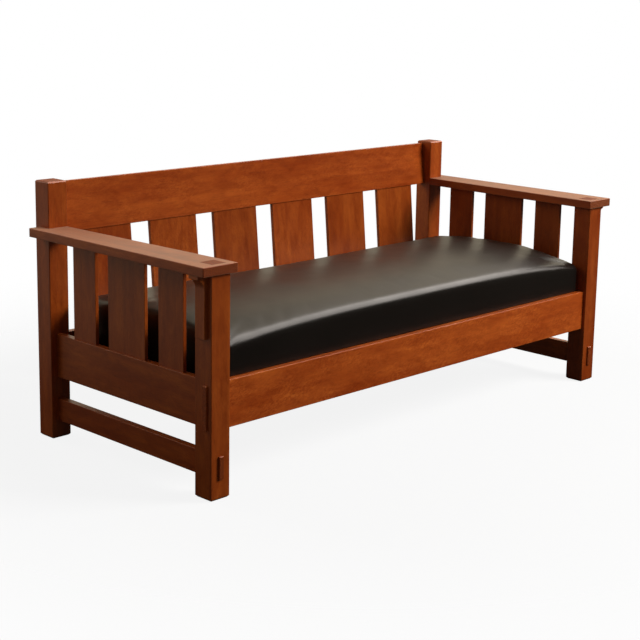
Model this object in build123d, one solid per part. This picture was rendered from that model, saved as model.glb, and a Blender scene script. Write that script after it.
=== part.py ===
from build123d import *
import math
import os

# A mission settle in oak with a slatted, leaning back, flat arms and one loose leather seat cushion.
# Millimetres. +X runs along the settle, -Y is its front, +Z is up, and the floor is at zero.

# Overall frame
frame_width = 1829.0
frame_depth = 805.0
post_size = 68.0
back_post_height = 798.0
arm_height = 658.0
post_chamfer = 4.0
post_foot_chamfer = 6.0
post_edge_round = 3.0
edge_ease = 1.5

# Joinery shared by every piece
tenon_thickness = 16.0
through_tenon_proud = 6.0
proud_tenon_chamfer = 1.2
tenon_shoulder = 5.0
side_tenon_length = 30.0
back_seat_tenon_length = 22.0
joint_clearance = 0.2
cut_overrun = 10.0

# Arms and corbels
arm_thickness = 27.0
arm_outer_overhang = 38.0
arm_inner_overhang = 18.0
arm_front_overhang = 10.0
arm_back_inset = 22.0
arm_corner_radius = 3.0
arm_edge_round = 2.5
arm_post_tenon_size = 50.0
arm_stub_tenon_width = 44.0
arm_stub_tenon_thickness = 13.0
arm_stub_tenon_length = 20.0
corbel_width = 37.0
corbel_height = 176.0
corbel_plate = 12.0
corbel_head_projection = 35.0
corbel_head_height = 10.0
corbel_cove_height = 28.0

# Seat rails, stretchers and side slats
rail_thickness = 23.0
seat_rail_height = 135.0
seat_rail_top = 330.0
front_rail_setback = 11.0
stretcher_height = 70.0
stretcher_top = 127.0
stretcher_tenon_shoulder = 2.0
narrow_slat_width = 108.0
wide_slat_width = 169.0
side_slat_gap = 61.0
side_slat_thickness = 12.0

# Back
top_rail_height = 156.0
top_rail_thickness = 22.0
top_rail_drop = 9.0
top_rail_centre_inset = 14.0
top_rail_tenon_length = 36.0
top_rail_tenon_thickness = 12.0
back_slat_count = 6
back_slat_width = 194.0
back_slat_end_gap = 72.0
back_slat_thickness = 12.5
back_slat_foot_setback = 8.4
back_seat_rail_setback = 1.5

# Tenons on the ends of every slat
slat_tenon_thickness = 8.0
slat_tenon_depth = 12.0
slat_tenon_shoulder = 6.0

# Seat deck
deck_drop = 36.0
seat_slat_count = 11
seat_slat_width = 90.0
seat_slat_thickness = 19.0
seat_slat_end_gap = 0.5
cleat_height = 32.0
cleat_width = 28.0
cleat_end_gap = 1.0
cleat_screw_count = 8
screw_shank_diameter = 4.4
screw_head_diameter = 9.0
screw_head_height = 2.6
slat_screw_length = 38.0
cleat_screw_length = 45.0
screw_clearance = 0.1
screw_end_share = 0.5

# Seat cushion: heights above the deck at the middle of its length
cushion_clearance = 1.0
cushion_front_gap = 2.0
cushion_back_gap = 6.0
cushion_front_edge = 164.0
cushion_crown = 188.0
cushion_back_edge = 132.0
cushion_front_fall = 28.0
cushion_crown_fall = 14.0
cushion_top_round = 22.0
cushion_bottom_round = 12.0
cushion_corner_radius = 18.0
cushion_end_roll = 8.0
cushion_pull_in = 3.0
cushion_wall_bulge = 7.0
cushion_front_overhang = 13.0
cushion_front_bulge = 3.0
cushion_station_shares = (0.0, 0.35, 0.6, 0.8)
cushion_corner_angles = (0.0, 35.0, 65.0, 90.0)
cushion_round_angle = 72.0

# Places worked out from the sizes above
overall_depth = arm_front_overhang + frame_depth + through_tenon_proud
front_y = arm_front_overhang - overall_depth / 2
back_y = front_y + frame_depth
half_width = frame_width / 2
half_inner = half_width - post_size
front_post_back_y = front_y + post_size
back_post_front_y = back_y - post_size
post_centre_x = half_width - post_size / 2
front_post_centre_y = front_y + post_size / 2
back_post_centre_y = back_y - post_size / 2
arm_underside = arm_height - arm_thickness
front_rail_front_y = front_y + front_rail_setback
front_rail_back_y = front_rail_front_y + rail_thickness
back_seat_rail_front_y = back_post_front_y + back_seat_rail_setback
seat_rail_bottom = seat_rail_top - seat_rail_height
stretcher_bottom = stretcher_top - stretcher_height
deck_top = seat_rail_top - deck_drop

# The leaning plane runs down the middle of the top rail and the back slats. It passes through the top
# edge of the rail and through the middle of the slats' feet on the back seat rail.
lean_top_y = back_y - top_rail_centre_inset
lean_top_z = back_post_height - top_rail_drop
lean_foot_y = back_seat_rail_front_y + back_slat_foot_setback
back_lean_angle = math.degrees(math.atan2(lean_top_y - lean_foot_y, lean_top_z - seat_rail_top))
back_frame = Pos(0, lean_top_y, lean_top_z) * Rot(-back_lean_angle, 0, 0)


def block(x_range, y_range, z_range):
    """A plain block between two values on each axis."""
    spans = [high - low for low, high in (x_range, y_range, z_range)]
    middle = [(high + low) / 2 for low, high in (x_range, y_range, z_range)]
    return Pos(*middle) * Box(*spans)


def timber(x_range, y_range, z_range, edge_round=edge_ease):
    """A squared timber whose four long edges are eased."""
    body = block(x_range, y_range, z_range)
    spans = {Axis.X: x_range, Axis.Y: y_range, Axis.Z: z_range}
    long_axis = max(spans, key=lambda axis: spans[axis][1] - spans[axis][0])
    return fillet(body.edges().filter_by(long_axis), edge_round)


def post_body(x_range, y_range, z_range, chamfer_top):
    """A squared post with rounded corners, chamfered round its foot and, if asked, round its top."""
    envelope = block(x_range, y_range, z_range)
    envelope = chamfer(envelope.faces().sort_by(Axis.Z)[0].edges(), post_foot_chamfer)
    if chamfer_top:
        envelope = chamfer(envelope.faces().sort_by(Axis.Z)[-1].edges(), post_chamfer)
    return timber(x_range, y_range, z_range, post_edge_round) & envelope


def grown(span, by):
    """A range made longer by the same amount at both ends."""
    return (span[0] - by, span[1] + by)


def centred(middle, size):
    """A range of the given size about its middle."""
    return (middle - size / 2, middle + size / 2)


def mirrored(span, side):
    """A range on the +X side, moved to the side that is asked for."""
    return span if side > 0 else (-span[1], -span[0])


def tenon_and_mortise(x_range, y_range, z_range):
    """A tenon, and the cutter of the mortise that takes it."""
    cutter = block(*(grown(span, joint_clearance) for span in (x_range, y_range, z_range)))
    return block(x_range, y_range, z_range), cutter


def chamfer_end(body, axis, at_high_end):
    """Chamfers the end face of a proud tenon."""
    faces = body.faces().sort_by(axis)
    end = faces[-1] if at_high_end else faces[0]
    return chamfer(end.edges(), proud_tenon_chamfer)


# Tenon ranges, each written once and used by the tenon and by its mortise
side_tenon_x = centred(post_centre_x, tenon_thickness)
seat_tenon_z = grown((seat_rail_bottom, seat_rail_top), -tenon_shoulder)
stretcher_tenon_z = grown((stretcher_bottom, stretcher_top), -stretcher_tenon_shoulder)
front_rail_tenon_y = centred(front_rail_front_y + rail_thickness / 2, tenon_thickness)
back_seat_tenon_y = centred(back_seat_rail_front_y + rail_thickness / 2, tenon_thickness)
arm_stub_z = centred(arm_underside + arm_thickness / 2, arm_stub_tenon_thickness)
arm_stub_x = centred(post_centre_x, arm_stub_tenon_width)
arm_stub_y = (back_post_front_y, back_post_front_y + arm_stub_tenon_length)
side_rail_tenon_ys = (
    (front_post_back_y - side_tenon_length, front_post_back_y),
    (back_post_front_y, back_post_front_y + side_tenon_length),
)
stretcher_tenon_y = (front_y - through_tenon_proud, back_y + through_tenon_proud)
front_rail_tenon_x = (half_inner, half_width + through_tenon_proud)
back_seat_tenon_x = (half_inner, half_inner + back_seat_tenon_length)
top_rail_tenon_x = (half_inner, half_inner + top_rail_tenon_length)
top_rail_tenon_y = centred(0, top_rail_tenon_thickness)
top_rail_tenon_z = grown((-top_rail_height, 0), -tenon_shoulder)


def front_post(side):
    """A front post, reduced at its top to the square tenon that shows in the arm."""
    x_range = mirrored((half_inner, half_width), side)
    post = post_body(x_range, (front_y, front_post_back_y), (0, arm_underside), False)
    post += block(
        centred(side * post_centre_x, arm_post_tenon_size),
        centred(front_post_centre_y, arm_post_tenon_size),
        (arm_underside, arm_height),
    )
    post -= tenon_and_mortise(mirrored(front_rail_tenon_x, side), front_rail_tenon_y, seat_tenon_z)[1]
    post -= tenon_and_mortise(mirrored(side_tenon_x, side), side_rail_tenon_ys[0], seat_tenon_z)[1]
    post -= tenon_and_mortise(mirrored(side_tenon_x, side), stretcher_tenon_y, stretcher_tenon_z)[1]
    return post


def back_post(side):
    """A back post, upright, with its top and foot chamfered."""
    x_range = mirrored((half_inner, half_width), side)
    post = post_body(x_range, (back_post_front_y, back_y), (0, back_post_height), True)
    post -= tenon_and_mortise(mirrored(back_seat_tenon_x, side), back_seat_tenon_y, seat_tenon_z)[1]
    post -= tenon_and_mortise(mirrored(side_tenon_x, side), side_rail_tenon_ys[1], seat_tenon_z)[1]
    post -= tenon_and_mortise(mirrored(side_tenon_x, side), stretcher_tenon_y, stretcher_tenon_z)[1]
    post -= tenon_and_mortise(mirrored(arm_stub_x, side), arm_stub_y, arm_stub_z)[1]
    leaning = tenon_and_mortise(mirrored(top_rail_tenon_x, side), top_rail_tenon_y, top_rail_tenon_z)[1]
    return post - back_frame * leaning


def side_slat_spans():
    """Widths and places along Y of the three slats under an arm."""
    widths = (narrow_slat_width, wide_slat_width, narrow_slat_width)
    taken = sum(widths) + side_slat_gap * (len(widths) - 1)
    at = (front_post_back_y + back_post_front_y - taken) / 2
    spans = []
    for width in widths:
        spans.append((at, at + width))
        at += width + side_slat_gap
    return spans


def side_slat_tenons(side, span):
    """The tenons of one side slat, as (tenon, mortise cutter) pairs."""
    x_range = mirrored(centred(post_centre_x, slat_tenon_thickness), side)
    y_range = grown(span, -slat_tenon_shoulder)
    return [
        tenon_and_mortise(x_range, y_range, (arm_underside, arm_underside + slat_tenon_depth)),
        tenon_and_mortise(x_range, y_range, (seat_rail_top - slat_tenon_depth, seat_rail_top)),
    ]


def arm(side):
    """A flat arm, notched round the back post and let down over the front post's tenon."""
    inner_front = half_inner - arm_inner_overhang
    outer = half_width + arm_outer_overhang
    front_end = front_y - arm_front_overhang
    back_end = back_y - arm_back_inset
    outline = [
        (inner_front, front_end),
        (outer, front_end),
        (outer, back_end),
        (half_width, back_end),
        (half_width, back_post_front_y),
        (half_inner, back_post_front_y),
    ]
    outline = [(side * x, y) for x, y in outline]
    board = extrude(make_face(Polyline(*outline, close=True)), amount=arm_thickness)
    board = Pos(0, 0, arm_underside) * board
    front_corners = board.edges().filter_by(Axis.Z).group_by(Axis.Y)[0]
    board = fillet(front_corners, arm_corner_radius)
    flats = board.faces().filter_by(Axis.Z)
    rims = [edge for face in flats for edge in face.edges() if edge.center().Y < back_post_front_y - arm_thickness]
    board = fillet(rims, arm_edge_round)
    board += tenon_and_mortise(mirrored(arm_stub_x, side), arm_stub_y, arm_stub_z)[0]
    board -= block(
        grown(centred(side * post_centre_x, arm_post_tenon_size), joint_clearance),
        grown(centred(front_post_centre_y, arm_post_tenon_size), joint_clearance),
        grown((arm_underside, arm_height), cut_overrun),
    )
    for span in side_slat_spans():
        board -= side_slat_tenons(side, span)[0][1]
    return board


def corbel(side):
    """A thin plate on the post's outer face whose head sweeps out in a cove under the arm."""
    top = arm_underside
    foot = top - corbel_height
    tip = corbel_head_projection
    cove_top = top - corbel_head_height
    cove_foot = cove_top - corbel_cove_height
    points = [(0, foot), (corbel_plate, foot), (corbel_plate, cove_foot), (tip, cove_top), (tip, top), (0, top)]
    with BuildSketch(Plane.XZ) as profile:
        with BuildLine():
            Polyline(*points[:3])
            TangentArc(points[2], points[3], tangent=(0, 1))
            Polyline(*points[3:], points[0])
        make_face()
    plate = extrude(profile.sketch, amount=corbel_width / 2, both=True)
    if side < 0:
        plate = mirror(plate, Plane.YZ)
    plate = Pos(side * half_width, front_post_centre_y, 0) * plate
    foot_edges = plate.faces().sort_by(Axis.Z)[0].edges()
    return chamfer(foot_edges.sort_by(Axis.X)[-1 if side > 0 else 0], edge_ease)


def side_seat_rail(side):
    """A wide rail between the posts of one end, carrying the side slats."""
    x_range = mirrored(centred(post_centre_x, rail_thickness), side)
    rail = timber(x_range, (front_post_back_y, back_post_front_y), (seat_rail_bottom, seat_rail_top))
    for y_range in side_rail_tenon_ys:
        rail += tenon_and_mortise(mirrored(side_tenon_x, side), y_range, seat_tenon_z)[0]
    for span in side_slat_spans():
        rail -= side_slat_tenons(side, span)[1][1]
    return rail


def side_stretcher(side):
    """The low rail of one end, whose tenons pass right through both posts."""
    x_range = mirrored(centred(post_centre_x, rail_thickness), side)
    rail = timber(x_range, (front_post_back_y, back_post_front_y), (stretcher_bottom, stretcher_top))
    rail += tenon_and_mortise(mirrored(side_tenon_x, side), stretcher_tenon_y, stretcher_tenon_z)[0]
    rail = chamfer_end(rail, Axis.Y, False)
    return chamfer_end(rail, Axis.Y, True)


def side_slat(side, span):
    """One upright slat under an arm."""
    x_range = mirrored(centred(post_centre_x, side_slat_thickness), side)
    slat = timber(x_range, span, (seat_rail_top, arm_underside))
    for tenon, cutter in side_slat_tenons(side, span):
        slat += tenon
    return slat


def cleat_screw_places():
    """Places along X of the screws that hold each cleat."""
    step = 2 * half_inner / cleat_screw_count
    return [(index + screw_end_share) * step - half_inner for index in range(cleat_screw_count)]


def seat_slat_places():
    """Middles of the seat slats along X."""
    step = 2 * half_inner / seat_slat_count
    return [(index + screw_end_share) * step - half_inner for index in range(seat_slat_count)]


cleat_top = deck_top - seat_slat_thickness
cleat_z = (cleat_top - cleat_height, cleat_top)
front_cleat_y = (front_rail_back_y, front_rail_back_y + cleat_width)
back_cleat_y = (back_seat_rail_front_y - cleat_width, back_seat_rail_front_y)


def screw(length, clearance):
    """A countersunk wood screw hanging point down from its head, or the hole for it."""
    shank = screw_shank_diameter / 2 + clearance
    head = screw_head_diameter / 2 + clearance
    depth = screw_head_height + clearance
    cone = Cone(shank, head, depth, align=(Align.CENTER, Align.CENTER, Align.MAX))
    body = Cylinder(shank, length + clearance, align=(Align.CENTER, Align.CENTER, Align.MAX))
    return body + cone


def cleat_screws(clearance):
    """The screws that go level through the cleats into the rails, both rows."""
    placed = []
    height = sum(cleat_z) / 2
    for x in cleat_screw_places():
        front = Pos(x, front_cleat_y[1], height) * Rot(-90, 0, 0)
        back = Pos(x, back_cleat_y[0], height) * Rot(90, 0, 0)
        placed += [front * screw(cleat_screw_length, clearance), back * screw(cleat_screw_length, clearance)]
    return placed


def slat_screw(x, y_range, clearance):
    """One screw straight down through a seat slat into a cleat."""
    return Pos(x, sum(y_range) / 2, deck_top) * screw(slat_screw_length, clearance)


def front_seat_rail():
    """The wide front rail with through tenons that stand proud of the posts."""
    y_range = (front_rail_front_y, front_rail_back_y)
    rail = timber((-half_inner, half_inner), y_range, (seat_rail_bottom, seat_rail_top))
    for side in (-1, 1):
        rail += tenon_and_mortise(mirrored(front_rail_tenon_x, side), front_rail_tenon_y, seat_tenon_z)[0]
        rail = chamfer_end(rail, Axis.X, side > 0)
    for hole in cleat_screws(screw_clearance):
        rail -= hole
    return rail


def back_slat_centres():
    """Places of the back slats along X, evenly about the middle."""
    reach = half_inner - back_slat_end_gap - back_slat_width / 2
    step = 2 * reach / (back_slat_count - 1)
    return [index * step - reach for index in range(back_slat_count)]


def level_band(low, high):
    """Everything between two heights, for cutting leaning pieces level."""
    reach = grown((-half_width, half_width), cut_overrun)
    return block(reach, grown((front_y, back_y), cut_overrun), (low, high))


def leaning_strip(x, width, thickness, low, high):
    """A strip in the leaning plane of the back, between two distances up that plane from its top."""
    return back_frame * block(centred(x, width), centred(0, thickness), (low, high))


def back_slat_tenon(x, at_top, clearance):
    """A tenon of a back slat, or with a clearance the mortise for it."""
    width = back_slat_width - 2 * slat_tenon_shoulder + 2 * clearance
    thickness = slat_tenon_thickness + 2 * clearance
    if at_top:
        high = slat_tenon_depth - top_rail_height + clearance
        return leaning_strip(x, width, thickness, -top_rail_height - clearance, high)
    strip = leaning_strip(x, width, thickness, -back_post_height, -top_rail_height)
    return strip & level_band(seat_rail_top - slat_tenon_depth - clearance, seat_rail_top + clearance)


def back_slat(x):
    """One leaning slat, cut level where it stands on the back seat rail."""
    body = timber(
        centred(x, back_slat_width),
        centred(0, back_slat_thickness),
        (-back_post_height, -top_rail_height),
    )
    body = (back_frame * body) & level_band(seat_rail_top, back_post_height)
    return body + back_slat_tenon(x, True, 0) + back_slat_tenon(x, False, 0)


def back_seat_rail():
    """The lower rail of the back, upright, which takes the feet of the slats."""
    y_range = (back_seat_rail_front_y, back_seat_rail_front_y + rail_thickness)
    rail = timber((-half_inner, half_inner), y_range, (seat_rail_bottom, seat_rail_top))
    for side in (-1, 1):
        rail += tenon_and_mortise(mirrored(back_seat_tenon_x, side), back_seat_tenon_y, seat_tenon_z)[0]
    for x in back_slat_centres():
        rail -= back_slat_tenon(x, False, joint_clearance)
    for hole in cleat_screws(screw_clearance):
        rail -= hole
    return rail


def back_top_rail():
    """The wide top rail, leaning with the slats and tenoned into the back posts."""
    rail = timber((-half_inner, half_inner), centred(0, top_rail_thickness), (-top_rail_height, 0))
    for side in (-1, 1):
        rail += tenon_and_mortise(mirrored(top_rail_tenon_x, side), top_rail_tenon_y, top_rail_tenon_z)[0]
    rail = back_frame * rail
    for x in back_slat_centres():
        rail -= back_slat_tenon(x, True, joint_clearance)
    return rail


def seat_cleat(y_range):
    """A square batten screwed along the inside of a seat rail."""
    x_range = grown((-half_inner, half_inner), -cleat_end_gap)
    cleat = timber(x_range, y_range, cleat_z)
    for hole in cleat_screws(screw_clearance):
        cleat -= hole
    for x in seat_slat_places():
        cleat -= slat_screw(x, y_range, screw_clearance)
    return cleat


def seat_slat(x):
    """One board of the seat deck, lying on both cleats."""
    y_range = grown((front_rail_back_y, back_seat_rail_front_y), -seat_slat_end_gap)
    slat = timber(centred(x, seat_slat_width), y_range, (cleat_top, deck_top))
    for span in (front_cleat_y, back_cleat_y):
        slat -= slat_screw(x, span, screw_clearance)
    return slat


def cushion_section(x, inset, roll):
    """The cushion's outline across the settle at one place along it."""
    along = abs(x) / (half_inner - cushion_clearance)
    fall = along ** 3
    pull = cushion_pull_in * (1 - along ** 2)
    front = front_rail_back_y + cushion_front_gap + pull + inset
    back = back_seat_rail_front_y - cushion_back_gap - pull - inset
    front_top = deck_top + cushion_front_edge - cushion_front_fall * fall - roll
    back_top = deck_top + cushion_back_edge - roll
    crown_top = deck_top + cushion_crown - cushion_crown_fall * fall - roll
    turn = math.radians(cushion_round_angle)
    bulge_foot = seat_rail_top + cushion_clearance

    def top_round(wall, top, inwards, angle):
        centre = (wall + inwards * cushion_top_round, top - cushion_top_round)
        return (
            centre[0] - inwards * cushion_top_round * math.cos(angle),
            centre[1] + cushion_top_round * math.sin(angle),
        )

    def wall_middle(wall, foot, top, outwards):
        return (wall + outwards, (foot + top - cushion_top_round) / 2)

    # The front rolls out over the front rail, a clearance above it, and then goes up.
    lip = front - cushion_front_overhang
    lip_foot = bulge_foot + cushion_front_overhang
    lip_turn = cushion_front_overhang * math.sin(math.radians(45))
    low_turn = cushion_bottom_round * (1 - math.cos(math.radians(45)))
    foot_front = (front + cushion_bottom_round, deck_top)
    foot_back = (back - cushion_bottom_round, deck_top)
    wall_front = (front, deck_top + cushion_bottom_round)
    wall_back = (back, deck_top + cushion_bottom_round)
    with BuildSketch(Plane.YZ.offset(x)) as section:
        with BuildLine():
            Line(foot_front, foot_back)
            ThreePointArc(foot_back, (back - low_turn, deck_top + low_turn), wall_back)
            Line(wall_back, (back, bulge_foot))
            ThreePointArc(
                (back, bulge_foot),
                wall_middle(back, bulge_foot, back_top, cushion_wall_bulge),
                top_round(back, back_top, -1, 0),
            )
            ThreePointArc(*(top_round(back, back_top, -1, turn * part) for part in (0, 1 / 2, 1)))
            ThreePointArc(
                top_round(back, back_top, -1, turn),
                ((lip + back) / 2, crown_top),
                top_round(lip, front_top, 1, turn),
            )
            ThreePointArc(*(top_round(lip, front_top, 1, turn * part) for part in (1, 1 / 2, 0)))
            ThreePointArc(
                top_round(lip, front_top, 1, 0),
                wall_middle(lip, lip_foot, front_top, -cushion_front_bulge),
                (lip, lip_foot),
            )
            ThreePointArc((lip, lip_foot), (front - lip_turn, lip_foot - lip_turn), (front, bulge_foot))
            Line((front, bulge_foot), wall_front)
            ThreePointArc(wall_front, (front + low_turn, deck_top + low_turn), foot_front)
        make_face()
    return section.sketch


def seat_cushion():
    """The loose cushion: crowned, with rounded ends and sides drawn in between its corners."""
    half = half_inner - cushion_clearance
    stations = [(share * half, 0, 0) for share in cushion_station_shares]
    for angle in cushion_corner_angles:
        turn = math.radians(angle)
        place = half - cushion_corner_radius * (1 - math.sin(turn))
        stations.append((place, cushion_corner_radius * (1 - math.cos(turn)), cushion_end_roll * (1 - math.cos(turn))))
    stations = [(-x, inset, roll) for x, inset, roll in reversed(stations[1:])] + stations
    return loft([cushion_section(*station) for station in stations], ruled=True)


def write(name, shape):
    """Writes one named piece and says how big it is."""
    shape.label = name
    export_step(shape, f"parts/{name}.step")
    size = shape.bounding_box().size
    print(f"{name}: {size.X:.1f} x {size.Y:.1f} x {size.Z:.1f}, {len(shape.solids())} solid(s)")


os.makedirs("parts", exist_ok=True)
for side, word in ((-1, "left"), (1, "right")):
    write(f"front_post_{word}", front_post(side))
    write(f"back_post_{word}", back_post(side))
    write(f"arm_{word}", arm(side))
    write(f"corbel_{word}", corbel(side))
    write(f"side_seat_rail_{word}", side_seat_rail(side))
    write(f"side_stretcher_{word}", side_stretcher(side))
    for number, span in enumerate(side_slat_spans(), start=1):
        write(f"side_slat_{word}_{number}", side_slat(side, span))
write("front_seat_rail", front_seat_rail())
write("back_seat_rail", back_seat_rail())
write("back_top_rail", back_top_rail())
for number, x in enumerate(back_slat_centres(), start=1):
    write(f"back_slat_{number}", back_slat(x))
write("seat_cleat_front", seat_cleat(front_cleat_y))
write("seat_cleat_back", seat_cleat(back_cleat_y))
for number, x in enumerate(seat_slat_places(), start=1):
    write(f"seat_slat_{number:02d}", seat_slat(x))
write("cleat_screws", Compound(children=cleat_screws(0)))
slat_screws = [slat_screw(x, span, 0) for x in seat_slat_places() for span in (front_cleat_y, back_cleat_y)]
write("seat_slat_screws", Compound(children=slat_screws))
write("seat_cushion", seat_cushion())
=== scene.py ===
import math

import bmesh
import bpy
from bpy.props import FloatProperty, IntProperty, PointerProperty, StringProperty
from mathutils import Matrix, Vector, noise


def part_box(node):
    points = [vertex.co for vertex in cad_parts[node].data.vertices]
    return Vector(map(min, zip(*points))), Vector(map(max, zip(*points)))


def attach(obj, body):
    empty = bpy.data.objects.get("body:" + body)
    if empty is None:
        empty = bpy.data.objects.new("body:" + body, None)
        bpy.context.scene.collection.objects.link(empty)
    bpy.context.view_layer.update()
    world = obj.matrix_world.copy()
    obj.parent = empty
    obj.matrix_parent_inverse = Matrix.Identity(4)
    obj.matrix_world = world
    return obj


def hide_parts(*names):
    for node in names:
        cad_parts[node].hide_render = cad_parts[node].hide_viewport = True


bl_info = {
    "name": "Mission settle",
    "version": (1, 0, 0),
    "blender": (4, 5, 0),
    "location": "View3D > Sidebar > Settle",
    "description": "Dresses an oak mission settle and its leather seat cushion",
    "category": "Object",
}

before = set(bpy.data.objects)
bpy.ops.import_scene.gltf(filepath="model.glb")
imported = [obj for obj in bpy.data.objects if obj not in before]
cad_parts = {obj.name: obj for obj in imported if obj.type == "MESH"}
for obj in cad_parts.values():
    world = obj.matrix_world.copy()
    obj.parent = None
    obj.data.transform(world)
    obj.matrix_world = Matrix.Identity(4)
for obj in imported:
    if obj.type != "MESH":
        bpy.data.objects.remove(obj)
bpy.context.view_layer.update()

MM = 0.001
SIDES = ("left", "right")
CUSHION_LOW, CUSHION_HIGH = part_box("seat_cushion")
# The cushion sits between the two seat rails, and rolls out over the top of the front one.
RAIL_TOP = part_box("front_seat_rail")[1].z
SEAT_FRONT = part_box("front_seat_rail")[1].y
SEAT_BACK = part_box("back_seat_rail")[0].y

# Boards by the way their grain runs. Quarter-sawn oak is cut so that its rays show as flecks on the wide
# faces.
ALONG = {"X": Vector((1, 0, 0)), "Y": Vector((0, 1, 0)), "Z": Vector((0, 0, 1))}
OAK_BOARDS = {}
for _word in SIDES:
    OAK_BOARDS[f"front_post_{_word}"] = "Z"
    OAK_BOARDS[f"back_post_{_word}"] = "Z"
    OAK_BOARDS[f"arm_{_word}"] = "Y"
    OAK_BOARDS[f"corbel_{_word}"] = "Z"
    OAK_BOARDS[f"side_seat_rail_{_word}"] = "Y"
    OAK_BOARDS[f"side_stretcher_{_word}"] = "Y"
    for _number in range(1, 4):
        OAK_BOARDS[f"side_slat_{_word}_{_number}"] = "Z"
for _name in ("front_seat_rail", "back_seat_rail", "back_top_rail"):
    OAK_BOARDS[_name] = "X"
for _number in range(1, 7):
    OAK_BOARDS[f"back_slat_{_number}"] = "Z"
DECK_BOARDS = {"seat_cleat_front": "X", "seat_cleat_back": "X"}
for _number in range(1, 12):
    DECK_BOARDS[f"seat_slat_{_number:02d}"] = "Y"

# How light each board came out beside the others; the first two slats of the right-hand end are also darkened
# as painted shade. Boards that aren't named here differ a little by turns.
BOARD_TONES = {
    "front_seat_rail": 1.36,
    "back_top_rail": 1.18,
    "back_post_right": 1.12,
    "front_post_right": 0.88,
    "front_post_left": 0.98,
    "arm_left": 0.94,
    "arm_right": 0.94,
    "back_slat_2": 1.1,
    "side_slat_left_1": 0.9,
    # Painted shade: these two right-hand slats are darkened because their inner faces stand in shade, deepest
    # at the back.
    "side_slat_right_1": 0.78,
    "side_slat_right_2": 0.82,
}

# How strongly the ray flecks show on the boards that were sawn closest to the rays.
BOARD_FIGURES = {"front_seat_rail": 1.0, "back_slat_2": 0.7, "back_top_rail": 0.6}

# Cells per metre of each pattern in the oak, along the grain and twice across it: slow patches some 300 mm
# long, mottling some 80 mm long, clusters of ray flecks, and pores cut across on the boards' ends.
PATCH_CELLS = (3, 11, 11)
MOTTLE_CELLS = (12, 36, 36)
CLUSTER_CELLS = (6, 14, 14)
END_PORE_CELLS = (40, 420, 420)
# The growth bands run for some 800 mm, three to a cell, and a pore is a dash some 30 mm long.
BAND_CELLS_ALONG = 1.3
BANDS_PER_CELL = 3
PORE_CELLS_ALONG = 30
# A ray fleck lies at this angle to the grain, in radians, and is this many times as long as wide.
RAY_SLANT = 0.35
RAY_STRETCH = 4
# Pores and boards' ends are rougher than the rest of the face by this much.
PORE_DULLNESS = 0.12
END_DULLNESS = 0.25

# Cells per metre in the leather: where it is handled, and its stretch lines, which run along the seat some
# 40 mm apart.
HANDLED_CELLS = (7, 9, 9)
STRETCH_CELLS = (5, 26, 26)

# The cushion's cover starts this far inside the place of the solid, because the filling pushes it out.
COVER_INSET = Vector((3, 3, 0)) * MM
# The middles of its sides are drawn in by this much.
PULL_IN = 3 * MM
# Its folds fan out from the top corners between these distances, and its dents reach in from its ends.
FOLDS_PER_TURN = 11
FOLD_START = 40 * MM
FOLD_REACH = 210 * MM
DENT_REACH = 260 * MM
DENT_CELLS = (14, 11)
DENT_LAYER = 0.7
# Folds and dents set in over this band of heights above the deck.
FOLD_LOW = 60 * MM
FOLD_BAND = 50 * MM
# The bottom of the cover, up to this height above its lowest point, is held still while it is filled.
BASE_BAND = 4 * MM
# The lip over the front rail starts this far above the rail's top and has edge loops at these steps up.
LIP_GAP = 1 * MM
LIP_STEPS = (0, 0.6 * MM, 3 * MM)
# Counted from there, points under the first of these heights are drawn in behind the rail, and those under
# the second, at the lower edge of the lip, go in by the third.
LIP_INNER = 0.3 * MM
LIP_EDGE = 1 * MM
LIP_ROUND = 2 * MM
# Between the rails the cushion clears both by this much.
SEAT_CLEARANCE = 1 * MM
# A point closer than this to an edge loop's plane counts as on it.
LOOP_REACH = 0.1 * MM

# Each lamp's place, the point that it faces and its width, in metres.
LAMPS = {
    "front": ((2.7, -3.4, 3.2), (0.1, 0, 0.3), 2.2),
    "top": ((0.2, 0.2, 4.2), (0, 0, 0), 2.6),
    "side": ((-2.4, 1.6, 2.2), (-0.8, 0.2, 0.5), 1.2),
    "rear": ((-1.1, 3.0, 2.4), (0, 0, 0.4), 1.8),
}
# The soft box that polished faces mirror hangs this way, over the right-hand end and a little in front.
SOFT_BOX_DIRECTION = (0.68, -0.14, 0.72)
FLOOR_RADIUS = 5
# The card lies on the floor, this far above it.
CARD_LIFT = 1 * MM


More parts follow.
